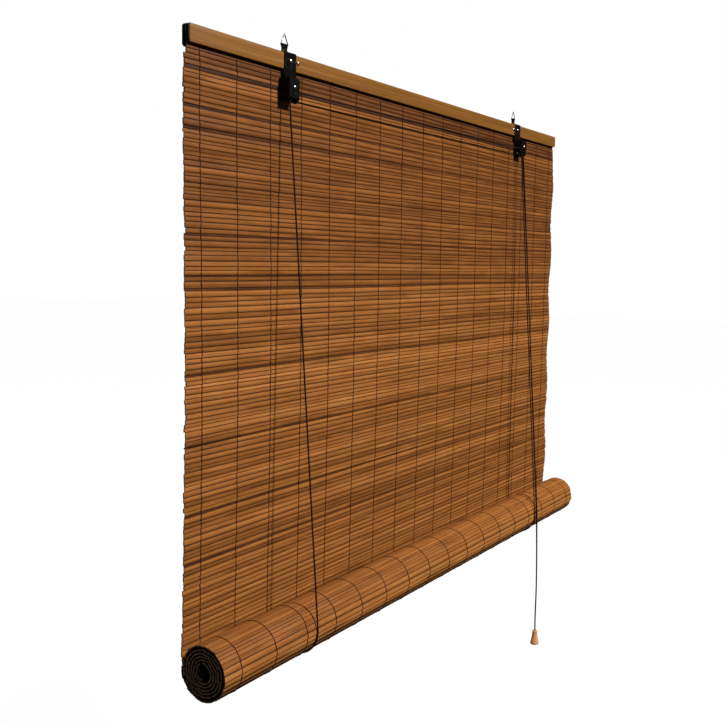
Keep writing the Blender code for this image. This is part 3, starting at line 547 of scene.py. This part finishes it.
def spun(profile, steps, foot):
    """Spin a closed (radius, height) profile round the Z axis, above foot."""
    bm = bmesh.new()
    corners = [bm.verts.new((radius, 0.0, height)) for radius, height in profile]
    edges = [bm.edges.new(pair) for pair in zip(corners, corners[1:] + corners[:1])]
    bmesh.ops.spin(bm, geom=corners + edges, cent=(0, 0, 0), axis=(0, 0, 1), angle=2 * math.pi,
                   steps=steps, use_merge=True, use_duplicate=False)
    bmesh.ops.remove_doubles(bm, verts=bm.verts, dist=1e-7)
    bmesh.ops.recalc_face_normals(bm, faces=bm.faces)
    bmesh.ops.translate(bm, vec=foot, verts=bm.verts)
    return bm


KNOB_STEPS = 40
bell = [(radius, share * KNOB_HEIGHT) for radius, share in KNOB_PROFILE]
knob = finish_piece(spun(bell, KNOB_STEPS, KNOB_AXIS + Vector((0, 0, knob_low.z))), "turned_knob",
                    PALE_WOOD, "pale_wood", "pull", ["pull_knob"], SMOOTH_ANGLE)


KNOT_STRAND = 0.46              # the strand's radius, as a share of the knot's
KNOT_HEIGHT = 0.8               # the knot is a little flatter than it is wide
KNOT_STEPS = 36


def tied_knot(name, node, radius, body, twist):
    """An overhand knot drawn tight: one turn and a half of cord round its own middle."""
    middle = centre_of(node)
    thick = radius * KNOT_STRAND
    reach = radius - thick
    loop = []
    for step in range(KNOT_STEPS + 1):
        angle = 3 * math.pi * step / KNOT_STEPS + twist
        loop.append(middle + Vector((reach * math.cos(angle), reach * math.sin(angle),
                                     reach * (1 - 2 * step / KNOT_STEPS) * KNOT_HEIGHT)))
    bm = bmesh.new()
    add_tube(bm, loop, thick, CORD_SIDES)
    return finish_piece(bm, name, CORD, "cord", body, [node])


pull_knot = tied_knot("tied_pull_knot", "pull_knot", 0.0034, "pull", 0.4)
for side in ("left", "right"):
    tied_knot(side + "_tied_knot", side + "_cord_knot", 0.0022, "head_rail_assembly", 1.1)
print("knob is", round(KNOB_HEIGHT * 1000, 1), "mm high")

# %% [markdown]
# ## The pull cords' lower stretches
# The lower stretch of each pull cord has its place baked into its mesh.  The lengths of both
# stretches are worked out, but nothing keeps them.

for side in ("right", "left"):
    upper, upper_route = tails[side + "_tail_upper"]
    lower, lower_route = tails[side + "_tail_lower"]
    route_length(upper_route)
    route_length(lower_route)
    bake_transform(lower)

# %% [markdown]
# ## The lift cords
# Each lift cord hangs from its anchor behind the curtain, passes under the roll and rises up its
# front to a pulley.  The left one then runs along the rail to the lock at the right.  The upright
# stretches, which shorten as the roll goes up, hang from the rail; the stretch under the roll
# travels with it; the stretches over the pulleys stay where they are.

# %% Lift cords
SLING_STEPS = 48


def pulley_arc(side, lane, start, end, steps):
    """Points round a pulley, between two angles counted from its +X side."""
    centre = Vector((PULLEY[side].x, LANE_Y[lane], PULLEY[side].z))
    angles = (math.radians(start + (end - start) * step / steps) for step in range(steps + 1))
    return [centre + WRAP_RADIUS * Vector((math.cos(a), 0.0, math.sin(a))) for a in angles]


def straight(start, end, spacing=0.01):
    steps = max(2, round((end - start).length / spacing))
    return [start.lerp(end, step / steps) for step in range(steps + 1)]


def fixed_cord(name, route, body, node):
    bm = bmesh.new()
    add_tube(bm, route, CORD_RADIUS, CORD_SIDES)
    return finish_piece(bm, name, CORD, "cord", body, [node])


for side in ("left", "right"):
    x = STRAND_X[side]
    lane = {"left": "rear", "right": "front"}[side]
    knot = centre_of(side + "_cord_knot")
    back_low, back_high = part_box(side + "_back_cord")
    front_low, front_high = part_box(side + "_front_cord")
    behind = straight(Vector((knot.x, knot.y, back_high.z)),
                      Vector((x, ROLL_AXIS.y + SLING_RADIUS, back_low.z)))
    ahead = straight(Vector((PULLEY[side].x - WRAP_RADIUS, LANE_Y[lane], front_high.z)),
                     Vector((x, ROLL_AXIS.y - SLING_RADIUS, front_low.z)))
    for name, route in (("back", behind), ("front", ahead)):
        bm = bmesh.new()
        add_tube(bm, route, CORD_RADIUS, CORD_SIDES)
        node = side + "_" + name + "_cord"
        shorten(finish_piece(bm, side + "_lift_cord_" + name, CORD, "cord", None, [node]),
                route[0].z, route[-1].z)
    under = [Vector((x, ROLL_AXIS.y + SLING_RADIUS * math.cos(a),
                     ROLL_AXIS.z - SLING_RADIUS * math.sin(a)))
             for a in (math.pi * step / SLING_STEPS for step in range(SLING_STEPS + 1))]
    fixed_cord(side + "_roll_sling", under, "lift", side + "_sling")
    print(side, "lift cord:", round(route_length(behind + under + ahead[::-1]), 3), "m")

header = pulley_arc("left", "rear", 180, 90, 10) + pulley_arc("right", "rear", 90, 0, 10)
fixed_cord("header_cord_run", header, "head_rail_assembly", "header_cord")
print("header cord:", round(route_length(header), 3), "m")
fixed_cord("lock_cord_turn", pulley_arc("right", "front", 180, 0, 20), "head_rail_assembly",
           "lock_turn_cord")

# %% [markdown]
# ## The slats
# One slat is a long bar with its four long edges bevelled, cut into spans so that it can wander
# a little.  The same template is laid once for each slat, and a function says where each of its
# points goes.  Neighbours share the seam between them, so the mat has no open gaps however
# crooked the slats are.

# %% Slat template
SPANS = 34                      # pieces that one slat is cut into along its length
DRAFT_THICKNESS = 0.25          # while bevelled, so that the bevel is deeper across than through
EDGE_BEVEL = 0.09


def long_edges(bm):
    return [e for e in bm.edges if abs(e.verts[0].co.x - e.verts[1].co.x) > 0.5]


def slat_template(spans):
    """A bar of size 1 along each axis, front at -Y, as a mesh to copy from."""
    bm = bmesh.new()
    bmesh.ops.create_cube(bm, size=1.0)
    bmesh.ops.scale(bm, vec=(1.0, DRAFT_THICKNESS, 1.0), verts=bm.verts)
    bmesh.ops.bevel(bm, geom=long_edges(bm), offset=EDGE_BEVEL, offset_type="OFFSET", segments=1,
                    profile=0.5, affect="EDGES", material=-1)
    bmesh.ops.scale(bm, vec=(1.0, 1 / DRAFT_THICKNESS, 1.0), verts=bm.verts)
    bmesh.ops.subdivide_edges(bm, edges=long_edges(bm), cuts=spans - 1, use_grid_fill=True)
    mesh = bpy.data.meshes.new("slat_template")
    bm.to_mesh(mesh)
    bm.free()
    return mesh


TEMPLATE = slat_template(SPANS)
print("one slat has", len(TEMPLATE.polygons), "faces")

# %% [markdown]
# ## Laying one slat
# A slat is laid by copying the template's points and moving each one.  u runs along the slat, v
# across it from the lower edge to the upper one, and w from its front to its back.  The three
# attributes that the wood reads are written at the same time.

# %% Lay one slat
def layer_of(bm, name):
    return bm.verts.layers.float.get(name) or bm.verts.layers.float.new(name)


def lay_slat(bm, tone_ends, place, seam=1.0):
    """Copy the template into bm and move each point where place(u, v, w) says."""
    tones, edges, grains = [layer_of(bm, name) for name in ("tone", "across", "slat")]
    first = len(bm.verts)
    bm.from_mesh(TEMPLATE)
    bm.verts.ensure_lookup_table()
    for vert in bm.verts[first:]:
        u, w, v = vert.co
        vert[tones] = tone_ends[0] + (tone_ends[1] - tone_ends[0]) * (u + 0.5)
        # seam widens the band of painted shade along the slat's long edges
        vert[edges] = v * seam
        vert[grains] = tone_ends[0]
        vert.co = place(u, v, w)


print("slats can be laid")

# %% [markdown]
# ## The hanging curtain
# Slat widths vary from about 4 to 9 mm, so the seams have no even beat.  Here and there a thin
# slat is laid nearly black at one end and set a little back, as painted shade for a shaded gap
# between slats; it shows as a dark line that fades along the curtain.  Near the rail every slat is
# painted darker: painted shade under the rail, fading out down the upper curtain.

# %% Slats of the hanging curtain
# Painted shade: near-black slats, set a little back, stand in for shaded gaps between slats.
SHADED_GAP_SLATS = (-0.0745, -0.1255, -0.1545, -0.2890, -0.3405, -0.3545, -0.4675, -0.5580, -0.6550,
              -0.7195)          # heights of the slats that are nearly black
BAND_FOOT = -0.0765             # the slats above this height get the most painted shade, just under the rail
DARKER_TO, EVEN_FROM = -0.26, -0.36    # the painted shade of the upper curtain fades between these heights
BAND_SHADE, UPPER_SHADE = 0.33, 0.17
SLAT_WIDTHS = (0.0046, 0.0054, 0.0060, 0.0066, 0.0066, 0.0070, 0.0078, 0.0086)
BAND_END, STRONG_END = -0.08, -0.2     # the first dark slat is above one, the wider ones the other
MIDDLE_TONE = 0.55
LEAST_WIDTH = 0.004             # what is left at the foot joins the last slat
DARK_REACH = 0.003              # a dark slat starts at most this far above its height
DARK_SUNK = -0.0004             # and lies a little behind its neighbours
CURTAIN_FRONT, CURTAIN_BACK = curtain_low.y, curtain_high.y


def painted_upper_shade(z):
    """How much painted shade darkens the slats near the rail and in the upper curtain."""
    if z > BAND_FOOT:
        return BAND_SHADE
    return UPPER_SHADE * min(1.0, max(0.0, (z - EVEN_FROM) / (DARKER_TO - EVEN_FROM)))


def shaded_gap_slat(z, rng):
    """Width and the tone at each end of a near-black slat, painted shade for a shaded gap."""
    if z > BAND_END:
        return 0.0046, [0.02, 0.02]
    width = rng.uniform(0.0032, 0.0040) if z > STRONG_END else 0.0024
    return width, [rng.uniform(0.02, 0.12), rng.uniform(0.20, 0.45)]


def curtain_slats(top, bottom, seed):
    """(upper edge, lower edge, tone at each end, how far the front stands out) of each slat."""
    rng = random.Random(seed)
    slats, z, dark = [], top, list(SHADED_GAP_SLATS)
    while z > bottom + LEAST_WIDTH:
        width = rng.choice(SLAT_WIDTHS) * rng.uniform(0.93, 1.07)
        group = 0.08 * noise.noise(Vector((z * 22.0, 3.1, 0.7)))
        tone = MIDDLE_TONE + group + rng.gauss(0.0, 0.055)
        # Painted shade: the slats are darkened near the rail and in the upper curtain.
        tones = [tone - painted_upper_shade(z) + rng.gauss(0.0, 0.03) for end in range(2)]
        proud = rng.uniform(-0.0003, 0.0004)
        if dark and z < dark[0] + DARK_REACH:
            width, tones = shaded_gap_slat(z, rng)
            proud = DARK_SUNK
            dark.pop(0)
        slats.append([z, z - width, tones, proud])
        z -= width
    slats[-1][1] = bottom
    return slats


SLAT_SEED = 11
SLATS = curtain_slats(curtain_high.z, curtain_low.z, SLAT_SEED)
print(len(SLATS), "slats hang from the rail")

# %% [markdown]
# ## How the curtain hangs
# No slat is quite straight, and no edge is quite plumb.  Long and short waves of noise move each
# seam, and because both neighbours use the same seam they never part.  The ends are ragged.  The
# curtain is laid as an upper and a lower piece, split just above the raised roll, and both hang
# from the rail.

# %% Lay the hanging curtain
FREE_FROM = -0.15               # below this height the mat no longer follows the rail
MOST_SWAY = 0.0045
RAIL_TRIM, LEFT_WIDER = 0.0065, 0.0035
FIRST_BELLY, BELLY_PITCH, BELLY_DEPTH = -0.146, 0.153, 0.0046


def wander(index, x):
    """How far a seam strays from its line, at x along the blind."""
    long_wave = 0.0016 * noise.noise(Vector((x * 2.4, index * 0.30, 5.0)))
    return long_wave + 0.0005 * noise.noise(Vector((x * 11.0, index * 0.85, 11.0)))


def share_between(z, start, end):
    """0 at the height start, 1 at the height end and beyond, and even between them."""
    return min(1.0, max(0.0, (start - z) / (start - end)))


def sway(z):
    """How far the mat hangs off to the right, most of all halfway down."""
    return MOST_SWAY * math.sin(math.pi * share_between(z, FREE_FROM, -0.83))


def right_wave(z):
    """The right edge bellies out once per hand's width, where the knots have slipped."""
    belly = math.cos(2 * math.pi * (z - FIRST_BELLY) / BELLY_PITCH)
    return share_between(z, -0.10, -0.13) * (0.0022 + BELLY_DEPTH * belly)


def mat_ends(half, z, rng):
    """Left and right end of a slat: cut back beside the rail, ragged and a little wider below."""
    trim = RAIL_TRIM * (1.0 - share_between(z, -0.055, -0.085))
    wider = LEFT_WIDER * share_between(z, FREE_FROM, -0.80)
    wave = 0.0012 * noise.noise(Vector((z * 26.0, 9.0, 1.0)))
    left = -half + trim + sway(z) - wider + wave + rng.gauss(0.0, 0.0008)
    right = half - trim + right_wave(z) + 4 * wider + wave + rng.gauss(0.0, 0.0009)
    return left, right


def lay_curtain(bm, first, last, seed):
    rng = random.Random(seed)
    half = (curtain_high.x - curtain_low.x) / 2
    for index in range(first, last):
        upper, lower, tones, proud = SLATS[index]
        left, right = mat_ends(half, lower, rng)
        tilt = rng.uniform(-0.0004, 0.0004)
        top_share = float(index > 0)
        low_share = float(index < len(SLATS) - 1)

        def place(u, v, w):
            x = left + (right - left) * (u + 0.5)
            high = upper + top_share * wander(index, x)
            low = lower + low_share * wander(index + 1, x)
            front = CURTAIN_FRONT - proud + tilt * v
            front += 0.0003 * noise.noise(Vector((x * 6.0, index * 1.7, 2.0)))
            return (x, front + (CURTAIN_BACK - front) * (w + 0.5), low + (high - low) * (v + 0.5))

        lay_slat(bm, tones, place)


SPLIT_ABOVE_AXIS = 0.008        # of the raised roll; from there down the curtain touches it
SLAT_ANGLE = 50                 # degrees; the bevels of a slat are shaded smooth
RAISED_ROLL_TOP = ROLL_AXIS.z + LIFT_TRAVEL + SPLIT_ABOVE_AXIS
split = next(i for i, slat in enumerate(SLATS) if slat[1] < RAISED_ROLL_TOP)
curtain = {}
for name, first, last in (("upper", 0, split), ("lower", split, len(SLATS))):
    bm = bmesh.new()
    lay_curtain(bm, first, last, 40 + first)
    curtain[name] = finish_piece(bm, "curtain_slats_" + name, SLAT_WOOD, "slat_wood", None,
                                 ["curtain_hanging"], SLAT_ANGLE)
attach(curtain["upper"], "head_rail_assembly")
SPLIT_Z = SLATS[split][0]
shorten(curtain["lower"], SPLIT_Z, SLATS[-1][1])
print("the curtain gathers below z", round(SPLIT_Z, 4))

# %% [markdown]
# ## Threads of the curtain
# In each column two threads twist round every slat.  On the front that reads as a dark line
# that dips into each seam and jogs a little from slat to slat; the back has its twin.

# %% Threads
THREAD_COLUMNS = 17
THREAD_PITCH = 0.0719
THREAD_RADIUS = 0.00075
THREAD_SIDES = 5
COLUMN_X = [(i - (THREAD_COLUMNS - 1) / 2) * THREAD_PITCH for i in range(THREAD_COLUMNS)]


def thread_route(column_x, first, last, back, rng):
    route = []
    drift = rng.uniform(0.0, 50.0)
    for index in range(first, last):
        upper, lower, tones, proud = SLATS[index]
        x = column_x + sway(upper) + 0.0012 * noise.noise(Vector((drift, index * 0.23, 0.0)))
        jog = rng.uniform(0.0002, 0.0006) * (-1) ** index
        front = CURTAIN_FRONT - proud
        seam, face = (CURTAIN_BACK - 0.0002, CURTAIN_BACK + 0.0002) if back else \
                     (CURTAIN_FRONT + 0.0002, front - 0.0002)
        shift = wander(index, x)
        third = (upper - lower) / 3
        route += [(x - jog, seam, upper + shift), (x - jog * 0.4, face, upper - third + shift),
                  (x + jog * 0.4, face, lower + third + shift)]
    route.append((x, seam, SLATS[last - 1][1] + wander(last, x)))
    return route


def sew_threads(name, first, last):
    rng = random.Random(7 + first)
    bm = bmesh.new()
    for column_x in COLUMN_X:
        for back in (False, True):
            route = thread_route(column_x, first, last, back, rng)
            add_tube(bm, route, THREAD_RADIUS, THREAD_SIDES)
    return finish_piece(bm, name, THREAD, "cord")


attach(sew_threads("curtain_threads_upper", 0, split), "head_rail_assembly")
shorten(sew_threads("curtain_threads_lower", split, len(SLATS)), SPLIT_Z, SLATS[-1][1])
print(THREAD_COLUMNS, "columns of thread")

# %% [markdown]
# ## The roll
# The lower part of the mat is wound forwards and inwards, each turn a little smaller than the
# one round it, and the outermost turn hangs a little loose.  The slats are flat, so the roll is a
# many-sided spiral.  Its slats are fine, but a few wide ones show as ridges low on its front.

# %% Roll slats
ROLL_RADIUS = roll_high.y - ROLL_AXIS.y
TURN_PITCH = 0.0044
ROLL_TURNS = 6.2
LOOSE_TURNS = 1.25
LOOSE_SAG = 0.0010
WIDE_SLATS = (1.70, 3.40)       # angles between which the outer turn has wide, ridged slats
WIDE_WIDTHS, FINE_WIDTHS = (0.0078, 0.0088, 0.0098), (0.0046, 0.0052, 0.0058, 0.0064)
WIDE_SEAM_SHADE, FINE_SEAM_SHADE = 1.02, 0.84      # a higher value paints a broader band of shade along the seams
MAT_THICK = CURTAIN_BACK - CURTAIN_FRONT


def turn_radius(angle):
    """The outermost turn lies loose and sags below the roll; the turns inside it are even."""
    turns = angle / (2 * math.pi)
    wound = turns * turns / LOOSE_TURNS if turns < LOOSE_TURNS else turns
    sag = LOOSE_SAG * max(0.0, math.sin(angle)) if angle < math.pi else 0.0
    return ROLL_RADIUS - TURN_PITCH * wound + sag


def roll_point(angle, depth, x):
    radius = turn_radius(angle) - depth
    return Vector((x, ROLL_AXIS.y + radius * math.cos(angle),
                   ROLL_AXIS.z - radius * math.sin(angle)))


def roll_slats(seed):
    """(start angle, end angle, tone at each end, how far it stands out, breadth of its painted seam shade)."""
    rng = random.Random(seed)
    slats, angle = [], 0.0
    while angle < ROLL_TURNS * 2 * math.pi:
        wide = WIDE_SLATS[0] < angle < WIDE_SLATS[1]
        width = rng.choice(WIDE_WIDTHS if wide else FINE_WIDTHS) * rng.uniform(0.95, 1.05)
        end = angle + width / turn_radius(angle)
        group = 0.10 * noise.noise(Vector((angle * 1.9, 8.1, 0.7)))
        tone = (0.62 if wide else 0.42) + group + rng.gauss(0.0, 0.08 if wide else 0.04)
        proud = rng.uniform(-0.0003, 0.0005) if wide else rng.uniform(-0.0001, 0.0001)
        seam = WIDE_SEAM_SHADE if wide else FINE_SEAM_SHADE
        slats.append((angle, end, [tone - 0.04, tone + 0.10], proud, seam))
        angle = end
    return slats


ROLL_SLATS = roll_slats(23)
ROLL_WANDER = 0.6               # the roll's seams stray less than the curtain's
rng = random.Random(5)
bm = bmesh.new()
roll_half = (roll_high.x - roll_low.x) / 2
for index, (start, end, tones, proud, seam) in enumerate(ROLL_SLATS):
    left = -roll_half + abs(rng.gauss(0.0, 0.0012))
    right = roll_half - abs(rng.gauss(0.0, 0.0012))

    def place(u, v, w):
        x = left + (right - left) * (u + 0.5)
        first = start + (ROLL_WANDER * wander(index + 300, x) / ROLL_RADIUS if index else 0.0)
        last = end + ROLL_WANDER * wander(index + 301, x) / ROLL_RADIUS
        depth = MAT_THICK * (w + 0.5) - proud * (0.5 - w)
        return roll_point(last, depth, x).lerp(roll_point(first, depth, x), v + 0.5)

    lay_slat(bm, tones, place, seam)
finish_piece(bm, "roll_slats", SLAT_WOOD, "slat_wood", "roll", ["curtain_roll"],
             SLAT_ANGLE)
print(len(ROLL_SLATS), "slats in the roll")

# %% [markdown]
# ## Threads round the roll
# The same columns of thread go on round the roll.  Only the outer turn and a little more of it
# can be seen, so the threads stop there.

# %% Threads round the roll
OUTER_TURN = 2.3 * math.pi
bm = bmesh.new()
for column_x in COLUMN_X:
    route = []
    for index, (start, end, tones, proud, seam) in enumerate(ROLL_SLATS):
        if start > OUTER_TURN:
            break
        jog = rng.uniform(0.0002, 0.0006) * (-1) ** index
        x = column_x + 0.0012 * noise.noise(Vector((column_x * 31.0, index * 0.23, 4.0)))
        route += [roll_point(start, 0.0003, x - jog),
                  roll_point(start + (end - start) * 0.33, -proud - 0.0001, x - jog * 0.4),
                  roll_point(start + (end - start) * 0.67, -proud - 0.0001, x + jog * 0.4)]
    add_tube(bm, route, THREAD_RADIUS, THREAD_SIDES)
finish_piece(bm, "roll_threads", THREAD, "cord", "roll")
print("threads round the roll's outer turn")

# %% [markdown]
# ## Hardware
# The brackets, screws, pulleys and battens already have the right shape in the frame, but as
# loose flat triangles.  A copy of each is merged, its round faces are shaded smooth up to a
# sharp corner, and it gets its own finish.

# %% Hardware copies
FINISH_OF = {"rail_wood": RAIL_WOOD, "stained_wood": BATTEN_SHADE_WOOD, "black_steel": BLACK_STEEL,
             "nickel": NICKEL, "black_nylon": BLACK_NYLON}
SLOT_OF = {part["node"]: part["material_slot"] for part in frame["record"]["subparts"]}


def refined(node):
    """A merged, smoothed copy of one of the frame's nodes, in its finish."""
    bm = bmesh.new()
    bm.from_mesh(frame["nodes"][node].data)
    bmesh.ops.remove_doubles(bm, verts=bm.verts, dist=1e-6)
    slot = SLOT_OF[node]
    material = RING_WIRE if node.endswith("ring") else FINISH_OF[slot]
    return finish_piece(bm, node + "_finished", material, slot, body_of[node], [node],
                        SMOOTH_ANGLE)


for side in ("left", "right"):
    for part in ("strap_screw", "rail_screw", "frame_rivet", "pulley_axle", "anchor_screw", "ring",
                 "pulley", "cord_anchor", "strap"):
        refined(side + "_" + part)
for node in ("lock_roller", "left_pulley_housing", "right_lock_housing", "front_batten",
             "rear_batten", "bottom_batten"):
    refined(node)
print("hardware finished")

# %% [markdown]
# ## Studio
# A pale floor lies far below, lower than the knob ever comes.  It glows a little by itself, so
# that it is even, and is hidden from the light that the blind receives.  The world looks white
# but gives only a weak fill.

# %% Floor and world
FLOOR_Z = -2.62
FLOOR_SIZE = 40.0
FILL_LIGHT = 0.06


def pale_floor():
    bm = bmesh.new()
    bmesh.ops.create_grid(bm, x_segments=1, y_segments=1, size=FLOOR_SIZE)
    bmesh.ops.translate(bm, vec=(0, 0, FLOOR_Z), verts=bm.verts)
    mesh = bpy.data.meshes.new("floor")
    bm.to_mesh(mesh)
    bm.free()
    material, _, shader = new_material("floor", roughness=0.9, specular=0.1)
    shader.inputs["Base Color"].default_value = (0.06, 0.06, 0.06, 1.0)
    shader.inputs["Emission Color"].default_value = (1.0, 1.0, 1.0, 1.0)
    shader.inputs["Emission Strength"].default_value = 0.97
    mesh.materials.append(material)
    floor = bpy.data.objects.new("floor", mesh)
    bpy.context.scene.collection.objects.link(floor)
    floor.visible_diffuse = False
    floor.visible_glossy = False


pale_floor()
world = bpy.data.worlds.new("studio")
bpy.context.scene.world = world
world.use_nodes = True
tree = world.node_tree
seen = tree.nodes["Background"]
seen.inputs["Color"].default_value = (1.0, 1.0, 1.0, 1.0)
seen.inputs["Strength"].default_value = 1.0
lighting = tree.nodes.new("ShaderNodeBackground")
lighting.inputs["Color"].default_value = (1.0, 0.98, 0.95, 1.0)
lighting.inputs["Strength"].default_value = FILL_LIGHT
switch = tree.nodes.new("ShaderNodeMixShader")
path = tree.nodes.new("ShaderNodeLightPath")
tree.links.new(path.outputs["Is Camera Ray"], switch.inputs[0])
tree.links.new(lighting.outputs[0], switch.inputs[1])
tree.links.new(seen.outputs[0], switch.inputs[2])
tree.links.new(switch.outputs[0], tree.nodes["World Output"].inputs["Surface"])
bpy.context.scene.view_settings.view_transform = "Standard"
print("floor at z", FLOOR_Z)

# %% [markdown]
# ## Lamps
# One small soft lamp stands in front of the blind, high up: its light rakes down over the slats
# and throws the brackets' and cords' shadows on them, and it leaves the faces that look left
# almost black.  A broad lamp behind keeps the back readable.

# %% Lamps
def soft_lamp(name, place, radius, power, colour):
    """A round lamp whose light doesn't fade with distance, as from a far larger one."""
    light = bpy.data.lights.new(name, "POINT")
    light.shadow_soft_size = radius
    light.energy = power
    light.color = colour
    light.use_nodes = True
    nodes, links = light.node_tree.nodes, light.node_tree.links
    fade = nodes.new("ShaderNodeLightFalloff")
    fade.inputs["Strength"].default_value = 1.0
    emission = nodes["Emission"]
    links.new(fade.outputs["Constant"], emission.inputs["Strength"])
    lamp = bpy.data.objects.new(name, light)
    lamp.location = place
    bpy.context.scene.collection.objects.link(lamp)


def area_lamp(name, place, aim, size, power):
    light = bpy.data.lights.new(name, "AREA")
    light.shape = "DISK"
    light.size = size
    light.energy = power
    lamp = bpy.data.objects.new(name, light)
    lamp.location = place
    lamp.rotation_euler = (Vector(aim) - Vector(place)).to_track_quat("-Z", "Y").to_euler()
    bpy.context.scene.collection.objects.link(lamp)


soft_lamp("key", (-0.10, -1.72, 1.30), 0.075, 66.0, (1.0, 0.975, 0.93))
area_lamp("back", (0.8, 3.0, 1.2), (0.0, 0.0, -0.5), 2.0, 60.0)
print("lamps lit")
